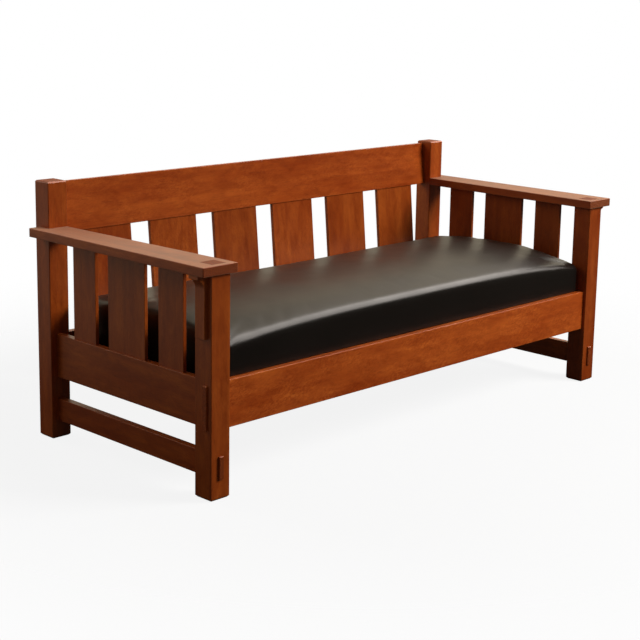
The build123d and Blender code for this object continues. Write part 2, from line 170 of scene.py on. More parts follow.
class SettleWood(bpy.types.PropertyGroup):
    """Colours and grain of the oak."""

    early_hex: StringProperty(
        name="Stain on the early wood",
        description="Warm orange brown of the paler growth bands, as an sRGB hex value",
        default="A54A18",
    )
    late_hex: StringProperty(
        name="Stain on the late wood",
        description="Deeper brown of the denser growth bands, as an sRGB hex value",
        default="933D12",
    )
    pore_hex: StringProperty(
        name="Filled pores",
        description="Dark brown of the open pores that hold the stain, as an sRGB hex value",
        default="5E280C",
    )
    # Painted highlight: this paler colour along the edges stands partly for stain rubbed thin and partly for
    # a painted highlight on the eased edges.
    rubbed_and_highlight_hex: StringProperty(
        name="Worn edges",
        description="Paler brown of the edges, where hands have rubbed the stain thin, as an sRGB hex value",
        default="C07C42",
    )
    end_hex: StringProperty(
        name="End grain",
        description="Dark tone of board ends, which drink the stain, as an sRGB hex value",
        default="8E3F18",
    )
    bloom_hex: StringProperty(
        name="Wax bloom",
        description="Pale cream of the old wax on the arms, as an sRGB hex value",
        default="FFEAC6",
    )
    deck_early_hex: StringProperty(
        name="Deck early wood",
        description="Plain planed wood of the hidden seat deck, as an sRGB hex value",
        default="C09A6A",
    )
    deck_late_hex: StringProperty(
        name="Deck late wood",
        description="Darker growth bands of the hidden seat deck, as an sRGB hex value",
        default="9C7446",
    )
    band_width: FloatProperty(
        name="Growth band width",
        description="Typical width of a growth band across the grain",
        default=9 * MM,
        min=1 * MM,
        unit="LENGTH",
    )
    pore_width: FloatProperty(
        name="Pore width",
        description="Drawn width of the pores, which are really about 0.3 mm",
        default=2.2 * MM,
        min=0.2 * MM,
        unit="LENGTH",
    )
    figure: FloatProperty(
        name="Figure",
        description="How strongly the ray flecks show on most boards",
        default=0.4,
        min=0,
        max=1,
    )
    gloss: FloatProperty(
        name="Oak roughness",
        description="Roughness of the waxed oak between its pores",
        default=0.33,
        min=0,
        max=1,
    )
    arm_gloss: FloatProperty(
        name="Arm roughness",
        description="Roughness of the arms, which hands have dulled, between their pores",
        default=0.42,
        min=0,
        max=1,
    )
    arm_bloom: FloatProperty(
        name="Arm bloom",
        description="Strength of the pale bloom of old wax on the arms, which shows at a low angle",
        default=0.47,
        min=0,
        max=1,
    )
    deck_gloss: FloatProperty(
        name="Deck roughness",
        description="Roughness of the plain planed deck between its pores",
        default=0.55,
        min=0,
        max=1,
    )
    fleck_width: FloatProperty(
        name="Fleck width",
        description="Width of a ray fleck",
        default=5 * MM,
        min=1 * MM,
        unit="LENGTH",
    )
    # Painted highlight: the width of the paler band along the edges, which is partly rubbed stain and partly
    # a painted highlight.
    rubbed_and_highlit_width: FloatProperty(
        name="Wear width",
        description="How far in from an edge the stain is rubbed thin",
        default=3 * MM,
        min=0,
        unit="LENGTH",
    )


class SettleLeather(bpy.types.PropertyGroup):
    """Colour and form of the leather cushion."""

    hide_hex: StringProperty(
        name="Leather",
        description="Near black of the dyed hide, as an sRGB hex value",
        default="1B1714",
    )
    crease_hex: StringProperty(
        name="Grain valleys",
        description="Black in the fine creases of the hide, as an sRGB hex value",
        default="0E0C0B",
    )
    grain_size: FloatProperty(
        name="Grain cell",
        description="Size of a pebble of the hide, drawn coarser than the real 1 mm so that it shows",
        default=2.4 * MM,
        min=0.5 * MM,
        unit="LENGTH",
    )
    front_edge: FloatProperty(
        name="Front edge",
        description="Height of the front edge above the deck, at the middle",
        default=164 * MM,
        unit="LENGTH",
    )
    front_fall: FloatProperty(
        name="Front fall",
        description="How far the front edge drops towards the ends",
        default=28 * MM,
        unit="LENGTH",
    )
    back_edge: FloatProperty(
        name="Back edge",
        description="Height of the back edge above the deck",
        default=132 * MM,
        unit="LENGTH",
    )
    crown_fall: FloatProperty(
        name="Crown fall",
        description="How far the crown drops towards the ends",
        default=14 * MM,
        unit="LENGTH",
    )
    overhang: FloatProperty(
        name="Overhang",
        description="How far the front rolls out over the front rail",
        default=13 * MM,
        unit="LENGTH",
    )
    corner_radius: FloatProperty(
        name="Corner radius",
        description="Radius of the upright corners",
        default=18 * MM,
        unit="LENGTH",
    )
    edge_roll: FloatProperty(
        name="Edge roll",
        description="Radius of the roll round the top and bottom edges",
        default=24 * MM,
        unit="LENGTH",
    )
    pucker: FloatProperty(
        name="Pucker",
        description="Depth of the folds that gather at the corners",
        default=3.4 * MM,
        unit="LENGTH",
    )
    voxel: FloatProperty(
        name="Cloth mesh size",
        description="Edge length of the mesh that the filling pushes out",
        default=12 * MM,
        min=4 * MM,
        unit="LENGTH",
    )
    swell_limit: FloatProperty(
        name="Most that a point may move",
        description="Cap on how far the filling pushes the cover",
        default=7 * MM,
        min=0,
        unit="LENGTH",
    )
    settle_frames: IntProperty(
        name="Cloth frames",
        description="Steps of cloth simulation",
        default=20,
        min=2,
    )


class SettleStage(bpy.types.PropertyGroup):
    """Floor, light and camera."""

    floor_hex: StringProperty(
        name="Floor",
        description="Pale floor, as an sRGB hex value",
        default="F6F5F3",
    )
    floor_white: FloatProperty(
        name="Floor white",
        description="Share of plain white in the floor as the camera sees it, which pales the shadow",
        default=0.88,
        min=0,
        max=1,
    )
    card_hex: StringProperty(
        name="Grey card",
        description="Unseen card on the floor, which keeps glare off the lower parts, as an sRGB hex value",
        default="5E5B56",
    )
    card_glow: FloatProperty(
        name="Mirrored floor",
        description="Strength of the floor behind the settle in polished faces",
        default=0.5,
        min=0,
    )
    warm_hex: StringProperty(
        name="Mirrored surroundings",
        description="Cream colour that polished faces mirror, as an sRGB hex value",
        default="FFEFD0",
    )
    mirrored: FloatProperty(
        name="Mirrored strength",
        description="Strength of the surroundings just over the horizon in polished faces",
        default=1.45,
        min=0,
    )
    dim_front: FloatProperty(
        name="Dim front",
        description="Strength of the dark room in front in polished faces",
        default=0.08,
        min=0,
    )
    box_hex: StringProperty(
        name="Soft box",
        description="Slightly warm white of the soft box in polished faces, as an sRGB hex value",
        default="FFF7F0",
    )
    box_glow: FloatProperty(
        name="Mirrored soft box",
        description="Strength of the soft box in polished faces",
        default=6.5,
        min=0,
    )
    ambient: FloatProperty(
        name="Ambient",
        description="Strength of the surroundings as a light",
        default=0.09,
        min=0,
    )
    front_power: FloatProperty(
        name="Front light",
        description="Power of the large soft light in front, high and to the right",
        default=245,
        min=0,
        unit="POWER",
    )
    top_power: FloatProperty(
        name="Top light",
        description="Power of the large soft light overhead",
        default=4,
        min=0,
        unit="POWER",
    )
    side_power: FloatProperty(
        name="Side light",
        description="Power of the weak soft light behind the left end",
        default=8,
        min=0,
        unit="POWER",
    )
    rear_power: FloatProperty(
        name="Rear light",
        description="Power of the soft light high behind the back",
        default=40,
        min=0,
        unit="POWER",
    )
    lens: FloatProperty(
        name="Lens",
        description="Focal length for a 36 mm wide picture",
        default=79.83 * MM,
        min=10 * MM,
        unit="CAMERA",
    )


def settings(name):
    """The property group of that name, kept on the scene."""
    return getattr(bpy.context.scene, name)


def linear(hex_value):
    """An sRGB hex colour as the linear value that a shader socket takes."""
    parts = [int(hex_value[i : i + 2], 16) / 255 for i in (0, 2, 4)]
    return (*[p / 12.92 if p <= 0.04045 else ((p + 0.055) / 1.055) ** 2.4 for p in parts], 1.0)


def add_node(tree, kind, inputs=None, stops=(), **values):
    """Adds a node with its settings, its links and a ramp's (position, colour) stops. An input given as a
    node or a socket is linked, and any other is set."""
    node = tree.nodes.new(kind)
    for key, value in values.items():
        setattr(node, key, value)
    for key, value in (inputs or {}).items():
        if isinstance(value, bpy.types.Node):
            value = next(output for output in value.outputs if output.enabled)
        if isinstance(value, bpy.types.NodeSocket):
            tree.links.new(value, node.inputs[key])
        else:
            node.inputs[key].default_value = value
    for index, (position, colour) in enumerate(stops):
        elements = node.color_ramp.elements
        element = elements[index] if index < len(elements) else elements.new(position)
        element.position = position
        element.color = colour
    return node


# A Mix node has several sockets of one name, so its factor, its two colours and its settings go by these.
FACTOR, FIRST, SECOND = 0, 6, 7
MIX = {"data_type": "RGBA"}
TINT = {"data_type": "RGBA", "blend_type": "MULTIPLY"}


def grey(value):
    """A grey colour for a ramp that is used as a mask."""
    return (value, value, value, 1.0)


def new_material(name):
    """An empty node material and its tree."""
    material = bpy.data.materials.new(name)
    material.use_nodes = True
    material.node_tree.nodes.clear()
    return material, material.node_tree


def growth(tree, grain, colours):
    """The stained wood's growth bands, with slow patches where it took the stain unevenly and mottling where
    the figure turns the light. Both are redder where they are dark. Returns the colour, bands and patches."""
    across = 1 / settings("settle_wood").band_width / BANDS_PER_CELL
    band_space = add_node(
        tree, "ShaderNodeMapping", {"Vector": grain, "Scale": (BAND_CELLS_ALONG, across, across)}
    )
    bands = add_node(
        tree, "ShaderNodeTexNoise", {"Vector": band_space, "Scale": 1, "Detail": 4, "Distortion": 0.4}
    )
    colour = add_node(
        tree,
        "ShaderNodeValToRGB",
        {0: bands},
        stops=[(0.3, linear(colours["late"])), (0.66, linear(colours["early"]))],
    )
    patch_space = add_node(tree, "ShaderNodeMapping", {"Vector": grain, "Scale": PATCH_CELLS})
    patches = add_node(tree, "ShaderNodeTexNoise", {"Vector": patch_space, "Scale": 1, "Detail": 2})
    patch_tone = add_node(
        tree,
        "ShaderNodeValToRGB",
        {0: patches},
        stops=[(0.3, (0.86, 0.76, 0.68, 1)), (0.5, grey(0.98)), (0.7, (1.1, 1.18, 1.2, 1))],
    )
    colour = add_node(tree, "ShaderNodeMix", {FACTOR: 1, FIRST: colour, SECOND: patch_tone}, **TINT)
    mottle_space = add_node(tree, "ShaderNodeMapping", {"Vector": grain, "Scale": MOTTLE_CELLS})
    mottle = add_node(
        tree, "ShaderNodeTexNoise", {"Vector": mottle_space, "Scale": 1, "Detail": 3, "Distortion": 0.8}
    )
    mottle_tone = add_node(
        tree,
        "ShaderNodeValToRGB",
        {0: mottle},
        stops=[(0.32, (0.84, 0.78, 0.7, 1)), (0.5, grey(1)), (0.7, (1.14, 1.24, 1.2, 1))],
    )
    colour = add_node(tree, "ShaderNodeMix", {FACTOR: 1, FIRST: colour, SECOND: mottle_tone}, **TINT)
    return colour, bands, patches


def ray_flecks(tree, grain, colour, figure):
    """Rays that slip across the grain at a slant as short, wandering ribbons, golden beside their own dark
    shadows, and come and go over the board."""
    wide = 1 / settings("settle_wood").fleck_width
    slanted = add_node(tree, "ShaderNodeMapping", {"Vector": grain, "Rotation": (0, RAY_SLANT, RAY_SLANT)})
    ray_space = add_node(
        tree, "ShaderNodeMapping", {"Vector": slanted, "Scale": (wide / RAY_STRETCH, wide, wide)}
    )
    rays = add_node(
        tree, "ShaderNodeTexNoise", {"Vector": ray_space, "Scale": 1, "Detail": 2, "Distortion": 1}
    )
    ray_tone = add_node(
        tree,
        "ShaderNodeValToRGB",
        {0: rays},
        stops=[(0.36, (0.8, 0.7, 0.62, 1)), (0.5, grey(1)), (0.64, (1.16, 1.36, 1.6, 1))],
    )
    cluster_space = add_node(tree, "ShaderNodeMapping", {"Vector": grain, "Scale": CLUSTER_CELLS})
    clusters = add_node(tree, "ShaderNodeTexNoise", {"Vector": cluster_space, "Scale": 1, "Detail": 1})
    cluster_mask = add_node(
        tree,
        "ShaderNodeValToRGB",
        {0: clusters},
        stops=[(0.36, grey(0.2 * figure)), (0.6, grey(figure))],
    )
    return add_node(tree, "ShaderNodeMix", {FACTOR: cluster_mask, FIRST: colour, SECOND: ray_tone}, **TINT)


def rubbed_and_highlit_edges(tree, colour, normal, patches, rubbed_and_highlight_hex):
    """Edges, where the rounded normal leaves the flat one, made paler here and there: partly stain rubbed
    thin, partly a painted highlight along the eased edges.
    """
    radius = settings("settle_wood").rubbed_and_highlit_width
    rounded = add_node(tree, "ShaderNodeBevel", {"Radius": radius}, samples=4)
    flatness = add_node(
        tree, "ShaderNodeVectorMath", {0: normal, 1: rounded}, operation="DOT_PRODUCT"
    ).outputs["Value"]
    # Painted highlight: the edge mask pales every eased edge, inside corners too, partly as rubbed stain and
    # partly as a painted highlight.
    edge = add_node(
        tree,
        "ShaderNodeMapRange",
        {"Value": flatness, "From Min": 0.985, "From Max": 0.86, "To Min": 0, "To Max": 0.45},
    )
    rubbed_and_highlit = add_node(tree, "ShaderNodeMath", {0: edge, 1: patches}, operation="MULTIPLY")
    return add_node(
        tree, "ShaderNodeMix", {FACTOR: rubbed_and_highlit, FIRST: colour, SECOND: linear(rubbed_and_highlight_hex)}, **MIX
    )


def end_grain(tree, grain, colour, normal, axis, colours):
    """Ends of boards, which show their pores as dots and take more stain. Returns the colour and the ends'
    mask."""
    facing = add_node(
        tree, "ShaderNodeVectorMath", {0: normal, 1: ALONG[axis]}, operation="DOT_PRODUCT"
    ).outputs["Value"]
    end_amount = add_node(tree, "ShaderNodeMath", {0: facing}, operation="ABSOLUTE")
    end_mask = add_node(
        tree, "ShaderNodeValToRGB", {0: end_amount}, stops=[(0.72, grey(0)), (0.88, grey(1))]
    )
    dot_space = add_node(tree, "ShaderNodeMapping", {"Vector": grain, "Scale": END_PORE_CELLS})
    dots = add_node(tree, "ShaderNodeTexNoise", {"Vector": dot_space, "Scale": 1, "Detail": 2})
    end_tone = add_node(
        tree,
        "ShaderNodeValToRGB",
        {0: dots},
        stops=[(0.35, linear(colours["pore"])), (0.62, linear(colours["end"]))],
    )
    colour = add_node(tree, "ShaderNodeMix", {FACTOR: end_mask, FIRST: colour, SECOND: end_tone}, **MIX)
    return colour, end_mask


def wood_material(name, axis, place, tone, colours, gloss, figure, bloom=0.0):
    """Quarter-sawn oak, planed, stained and rubbed with wax: long dark pores, soft growth bands, golden ray
    flecks across the grain, paler edges that are partly stain rubbed thin and partly a painted highlight,
    darker ends and a low sheen that is a little duller where the pores are. Old wax gives a pale bloom at a
    low angle."""
    wood = settings("settle_wood")
    material, tree = new_material(name)
    # The grain runs along the X of this space, and every board reads its own stretch of it. Each pattern
    # stretches it by its own cells per metre.
    turn = {"X": (0, 0, 0), "Y": (0, 0, -math.pi / 2), "Z": (0, math.pi / 2, 0)}[axis]
    coordinates = add_node(tree, "ShaderNodeTexCoord").outputs["Object"]
    grain = add_node(
        tree, "ShaderNodeMapping", {"Vector": coordinates, "Location": place, "Rotation": turn}
    )
    colour, bands, patches = growth(tree, grain, colours)
    # Pores are drawn wider than the real 0.3 mm so that they show.
    pore_cells = (PORE_CELLS_ALONG, 1 / wood.pore_width, 1 / wood.pore_width)
    pore_space = add_node(tree, "ShaderNodeMapping", {"Vector": grain, "Scale": pore_cells})
    pores = add_node(tree, "ShaderNodeTexNoise", {"Vector": pore_space, "Scale": 1, "Detail": 2})
    pore_mask = add_node(
        tree, "ShaderNodeValToRGB", {0: pores}, stops=[(0.56, grey(0)), (0.72, grey(0.4))]
    )
    colour = add_node(
        tree, "ShaderNodeMix", {FACTOR: pore_mask, FIRST: colour, SECOND: linear(colours["pore"])}, **MIX
    )
    if figure:
        colour = ray_flecks(tree, grain, colour, figure)
    normal = add_node(tree, "ShaderNodeNewGeometry").outputs["Normal"]
    colour = rubbed_and_highlit_edges(tree, colour, normal, patches, colours["rubbed_and_highlit"])
    colour, end_mask = end_grain(tree, grain, colour, normal, axis, colours)
    colour = add_node(tree, "ShaderNodeMix", {FACTOR: 1, FIRST: colour, SECOND: (*tone, 1)}, **TINT)
    relief = add_node(tree, "ShaderNodeMath", {0: pore_mask, 1: bands}, operation="SUBTRACT")
    bump = add_node(tree, "ShaderNodeBump", {"Height": relief, "Strength": 0.18, "Distance": -0.25 * MM})
    polish = add_node(
        tree, "ShaderNodeMapRange", {"Value": pores, "To Min": gloss, "To Max": gloss + PORE_DULLNESS}
    )
    roughness = add_node(
        tree, "ShaderNodeMath", {0: end_mask, 1: END_DULLNESS, 2: polish}, operation="MULTIPLY_ADD"
    )
    shader = add_node(
        tree,
        "ShaderNodeBsdfPrincipled",
        {
            "Base Color": colour,
            "Roughness": roughness,
            "IOR": 1.5,
            "Normal": bump,
            "Sheen Weight": bloom,
            "Sheen Roughness": 0.4,
            "Sheen Tint": linear(wood.bloom_hex),
        },
    )
    add_node(tree, "ShaderNodeOutputMaterial", {"Surface": shader})
    return material


def leather_material():
    """Finished cow hide, dyed black through and rubbed with a clear dressing: close pebbled grain with faint
    stretch lines, and a semi-gloss that mirrors the slats softly and dulls a little where it is handled."""
    leather = settings("settle_leather")
    material, tree = new_material("Black dyed cow hide")
    coordinates = add_node(tree, "ShaderNodeTexCoord").outputs["Object"]
    cells = add_node(
        tree,
        "ShaderNodeTexVoronoi",
        {"Vector": coordinates, "Scale": 1 / leather.grain_size, "Randomness": 0.9},
        feature="DISTANCE_TO_EDGE",
    )
    valley = add_node(tree, "ShaderNodeValToRGB", {0: cells}, stops=[(0, grey(0.6)), (0.12, grey(0))])
    colour = add_node(
        tree,
        "ShaderNodeMix",
        {FACTOR: valley, FIRST: linear(leather.hide_hex), SECOND: linear(leather.crease_hex)},
        **MIX,
    )
    wear_space = add_node(tree, "ShaderNodeMapping", {"Vector": coordinates, "Scale": HANDLED_CELLS})
    wear = add_node(tree, "ShaderNodeTexNoise", {"Vector": wear_space, "Scale": 1, "Detail": 3})
    roughness = add_node(
        tree,
        "ShaderNodeMapRange",
        {"Value": wear, "From Min": 0.3, "From Max": 0.7, "To Min": 0.33, "To Max": 0.41},
    )
    pull_space = add_node(tree, "ShaderNodeMapping", {"Vector": coordinates, "Scale": STRETCH_CELLS})
    pull = add_node(tree, "ShaderNodeTexNoise", {"Vector": pull_space, "Scale": 1, "Detail": 2})
    pebbles = add_node(
        tree, "ShaderNodeBump", {"Height": valley, "Strength": 0.12, "Distance": -0.15 * MM}
    )
    soft = add_node(
        tree,
        "ShaderNodeBump",
        {"Height": pull, "Strength": 0.15, "Distance": 1.5 * MM, "Normal": pebbles},
    )
    shader = add_node(
        tree,
        "ShaderNodeBsdfPrincipled",
        {
            "Base Color": colour,
            "Roughness": roughness,
            "IOR": 1.5,
            "Specular IOR Level": 0.42,
            "Normal": soft,
        },
    )
    add_node(tree, "ShaderNodeOutputMaterial", {"Surface": shader})
    return material


def steel_material():
    """Zinc-plated steel, drawn and turned: a cool grey that is a little cloudy, with a soft metal gleam."""
    material, tree = new_material("Zinc-plated steel screws")
    coordinates = add_node(tree, "ShaderNodeTexCoord").outputs["Object"]
    # Clouds some 3 mm across.
    cloud = add_node(tree, "ShaderNodeTexNoise", {"Vector": coordinates, "Scale": 300, "Detail": 2})
    colour = add_node(
        tree, "ShaderNodeValToRGB", {0: cloud}, stops=[(0.3, linear("A8A49A")), (0.7, linear("D0CDC4"))]
    )
    shader = add_node(
        tree,
        "ShaderNodeBsdfPrincipled",
        {"Base Color": colour, "Metallic": 1.0, "Roughness": 0.35},
    )
    add_node(tree, "ShaderNodeOutputMaterial", {"Surface": shader})
    return material


def dress(node, material):
    """Gives a CAD node its material in every slot."""
    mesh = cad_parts[node].data
    if not mesh.materials:
        mesh.materials.append(material)
    for index in range(len(mesh.materials)):
        mesh.materials[index] = material


def board_place(index):
    """A stretch of grain for the board of that number, well away from every other board's."""
    return (1.7 * index + 0.31, 0.83 * (index % 7), 1.19 * (index % 5))


def finish_mesh(bm, name, material, smooth=True):
    """Turns a bmesh into a piece of the scene at the origin."""
    bmesh.ops.recalc_face_normals(bm, faces=bm.faces)
    mesh = bpy.data.meshes.new(name)
    bm.to_mesh(mesh)
    bm.free()
    mesh.polygons.foreach_set("use_smooth", [smooth] * len(mesh.polygons))
    mesh.materials.append(material)
    piece = bpy.data.objects.new(name, mesh)
    bpy.context.scene.collection.objects.link(piece)
    return piece


def apply_modifiers(piece):
    """Writes a piece's modifiers into its mesh."""
    bpy.context.view_layer.update()
    graph = bpy.context.evaluated_depsgraph_get()
    mesh = bpy.data.meshes.new_from_object(piece.evaluated_get(graph), depsgraph=graph)
    old = piece.data
    piece.modifiers.clear()
    piece.data = mesh
    bpy.data.meshes.remove(old)


class SETTLE_OT_boards(bpy.types.Operator):
    """Gives every oak board its own stretch of grain and its tone"""

    bl_idname = "settle.boards"
    bl_label = "Oak boards"

    def execute(self, context):
        wood = settings("settle_wood")
        colours = {
            "early": wood.early_hex,
            "late": wood.late_hex,
            "pore": wood.pore_hex,
            "rubbed_and_highlit": wood.rubbed_and_highlight_hex,
            "end": wood.end_hex,
        }
        for index, (node, axis) in enumerate(OAK_BOARDS.items()):
            # Boards that BOARD_TONES doesn't name are up to 5 per cent lighter or darker, and every board is
            # up to 3 per cent more golden or redder.
            shade = BOARD_TONES.get(node, 1.0 + 0.05 * math.sin(2.4 * index))
            tone = (shade, shade * (1 + 0.03 * math.cos(1.7 * index)), shade)
            figure = BOARD_FIGURES.get(node, wood.figure)
            gloss, bloom = wood.gloss, 0.0
            if node.startswith("arm"):
                gloss, bloom = wood.arm_gloss, wood.arm_bloom
            name = f"Stained quarter-sawn oak {node}"
            dress(node, wood_material(name, axis, board_place(index), tone, colours, gloss, figure, bloom))
        return {"FINISHED"}


class SETTLE_OT_deck(bpy.types.Operator):
    """Gives the hidden seat deck plain planed wood, and its screws zinc-plated steel"""

    bl_idname = "settle.deck"
    bl_label = "Seat deck"

    def execute(self, context):
        wood = settings("settle_wood")
        colours = {
            "early": wood.deck_early_hex,
            "late": wood.deck_late_hex,
            "pore": wood.deck_late_hex,
            "rubbed_and_highlit": wood.deck_early_hex,
            "end": wood.deck_late_hex,
        }
        for index, (node, axis) in enumerate(DECK_BOARDS.items()):
            place = board_place(index + len(OAK_BOARDS))
            material = wood_material(
                f"Planed oak {node}", axis, place, (1.0, 1.0, 1.0), colours, wood.deck_gloss, 0
            )
            dress(node, material)
        steel = steel_material()
        for node in ("cleat_screws", "seat_slat_screws"):
            dress(node, steel)
        return {"FINISHED"}


class SETTLE_OT_cushion(bpy.types.Operator):
    """Makes the leather cushion: a crowned box, filled until its cover is tight, with folds at its corners"""

    bl_idname = "settle.cushion"
    bl_label = "Seat cushion"

    def execute(self, context):
        leather = settings("settle_leather")
        low = CUSHION_LOW + COVER_INSET
        low.y += leather.overhang
        high = CUSHION_HIGH - COVER_INSET
        size = high - low
        bm = bmesh.new()
        bmesh.ops.create_cube(bm, size=1)
        bmesh.ops.scale(bm, vec=size, verts=bm.verts)
        bmesh.ops.translate(bm, vec=(low + high) / 2, verts=bm.verts)
        uprights = [e for e in bm.edges if abs(e.verts[0].co.z - e.verts[1].co.z) > size.z / 2]
        rounding = {"segments": 5, "profile": 0.5, "affect": "EDGES", "material": -1}
        bmesh.ops.bevel(bm, geom=uprights, offset=leather.corner_radius, **rounding)
        rims = [e for e in bm.edges if abs(e.verts[0].co.z - e.verts[1].co.z) < MM]
        bmesh.ops.bevel(bm, geom=rims, offset=leather.edge_roll, **rounding)
        bmesh.ops.triangulate(bm, faces=[f for f in bm.faces if len(f.verts) > 4])
        cushion = finish_mesh(bm, "seat_cushion_leather", leather_material())
        remesh = cushion.modifiers.new("Even mesh", "REMESH")
        remesh.mode = "VOXEL"
        remesh.voxel_size = leather.voxel
        remesh.use_smooth_shade = True
        apply_modifiers(cushion)
        if len(cushion.data.vertices) < 1000:
            raise RuntimeError("The cushion's even mesh came out empty")
        shape_cushion(cushion, leather, low, high)
        fill_cushion(cushion, leather)
        pucker_cushion(cushion, leather, low, high)
        smooth = cushion.modifiers.new("Smooth", "SUBSURF")
        smooth.levels = 1
        smooth.render_levels = 1
        apply_modifiers(cushion)
        settle_cushion(cushion, leather, low, high)
        cushion.data.polygons.foreach_set("use_smooth", [True] * len(cushion.data.polygons))
        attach(cushion, "cushion")
        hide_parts("seat_cushion")
        return {"FINISHED"}


def ease(value):
    """Goes smoothly from 0 to 1 as the value does."""
    value = min(max(value, 0), 1)
    return value * value * (3 - 2 * value)


def cushion_top(leather, x, y, low, high):
    """Height of the cushion's top above the deck at a point of its plan."""
    centre = (low + high) / 2
    along = min(abs(x - centre.x) / ((high.x - low.x) / 2), 1)
    back = (y - low.y) / (high.y - low.y)
    fall = along**3
    front_edge = leather.front_edge - leather.front_fall * fall
    crown = high.z - low.z - leather.crown_fall * fall
    chord = front_edge + (leather.back_edge - front_edge) * back
    return chord + (crown - (front_edge + leather.back_edge) / 2) * 4 * back * (1 - back)


def overhang_at(leather, y, low, high):
    """How far the roll over the front rail draws a point forwards. It spreads back over seven tenths of the
    cushion's depth, so that the mesh isn't torn at the front."""
    back = (y - low.y) / (high.y - low.y)
    return leather.overhang * ease((1.4 - 2 * back) / 1.4) ** 2


def shape_cushion(cushion, leather, low, high):
    """Gives the plain box its crown, the fall to its ends, its drawn-in sides and the roll over the rail."""
    size = high - low
    centre = (low + high) / 2
    for vertex in cushion.data.vertices:
        x, y, z = vertex.co
        rise = (z - low.z) / size.z
        along = (x - centre.x) / (size.x / 2)
        deep = (y - centre.y) / (size.y / 2)
        vertex.co.z = low.z + rise * (cushion_top(leather, x, y, low, high) - leather.swell_limit / 2)
        vertex.co.y -= PULL_IN * (1 - along * along) * deep
        vertex.co.x -= PULL_IN * (1 - deep * deep) * along
        vertex.co.y -= overhang_at(leather, y, low, high)
    cushion.data.update()


def fill_cushion(cushion, leather):
    """Blows the cover out with the pressure of its filling and keeps each point near where it was."""
    start = [v.co.copy() for v in cushion.data.vertices]
    low_z = min(co.z for co in start)
    pinned = cushion.vertex_groups.new(name="Base")
    base = [i for i, co in enumerate(start) if co.z < low_z + BASE_BAND]
    pinned.add(base, 1.0, "REPLACE")
    cloth = cushion.modifiers.new("Filling", "CLOTH")
    cloth.settings.quality = 5
    cloth.settings.mass = 0.35
    cloth.settings.tension_stiffness = 18
    cloth.settings.compression_stiffness = 14
    cloth.settings.shear_stiffness = 6
    cloth.settings.bending_stiffness = 1.2
    cloth.settings.use_pressure = True
    cloth.settings.uniform_pressure_force = 4
    cloth.settings.effector_weights.gravity = 0
    cloth.settings.vertex_group_mass = "Base"
    cloth.settings.shrink_min = -0.01
    scene = bpy.context.scene
    scene.frame_start = 1
    scene.frame_end = leather.settle_frames
    cloth.point_cache.frame_start = 1
    cloth.point_cache.frame_end = leather.settle_frames
    for number in range(1, leather.settle_frames + 1):
        scene.frame_set(number)
    apply_modifiers(cushion)
    scene.frame_set(1)
    for vertex, origin in zip(cushion.data.vertices, start):
        move = vertex.co - origin
        if move.length > leather.swell_limit:
            vertex.co = origin + move.normalized() * leather.swell_limit
    cushion.vertex_groups.clear()
    cushion.data.update()


def pucker_cushion(cushion, leather, low, high):
    """Gathers the cover into shallow folds that fan out from its top corners, and dents it near its ends."""
    for vertex in cushion.data.vertices:
        co = vertex.co
        top = ease((co.z - low.z - FOLD_LOW) / FOLD_BAND)
        if not top:
            continue
        for corner_x in (low.x, high.x):
            for corner_y in (low.y - leather.overhang, high.y):
                reach = Vector((co.x - corner_x, co.y - corner_y))
                near = ease(1 - reach.length / FOLD_REACH) * ease(reach.length / FOLD_START)
                turn = math.atan2(reach.y, reach.x)
                wave = 0.5 + 0.5 * math.cos(FOLDS_PER_TURN * turn + corner_x)
                co.z -= leather.pucker * top * near * wave
        end = ease(1 - min(co.x - low.x, high.x - co.x) / DENT_REACH)
        spot = Vector((co.x * DENT_CELLS[0], co.y * DENT_CELLS[1], DENT_LAYER))
        co.z += leather.pucker * top * end * noise.noise(spot)
    cushion.data.update()


def settle_cushion(cushion, leather, low, high):
    """Keeps the filled cushion inside its place, clear of the posts and slats, and seats it between the
    rails: above the front rail it stands out over the rail's top with a tight edge, and below it is drawn
    in."""
    bm = bmesh.new()
    bm.from_mesh(cushion.data)
    lip = RAIL_TOP + LIP_GAP
    for step in LIP_STEPS:
        geometry = bm.verts[:] + bm.edges[:] + bm.faces[:]
        level = {"plane_co": (0, 0, lip + step), "plane_no": (0, 0, 1)}
        bmesh.ops.bisect_plane(bm, geom=geometry, dist=LOOP_REACH, **level)
    for vertex in bm.verts:
        co = vertex.co
        co.z = max(co.z, CUSHION_LOW.z)
        co.x = min(max(co.x, CUSHION_LOW.x), CUSHION_HIGH.x)
        co.y = min(max(co.y, CUSHION_LOW.y), SEAT_BACK - SEAT_CLEARANCE)
        if co.z < lip + LIP_INNER:
            drawn_in = co.y + overhang_at(leather, co.y + leather.overhang, low, high)
            co.y = max(drawn_in, SEAT_FRONT + SEAT_CLEARANCE)
        elif co.z < lip + LIP_EDGE:
            co.y = max(co.y, CUSHION_LOW.y + LIP_ROUND)
    bmesh.ops.triangulate(bm, faces=[f for f in bm.faces if len(f.verts) > 4])
    bm.to_mesh(cushion.data)
    bm.free()


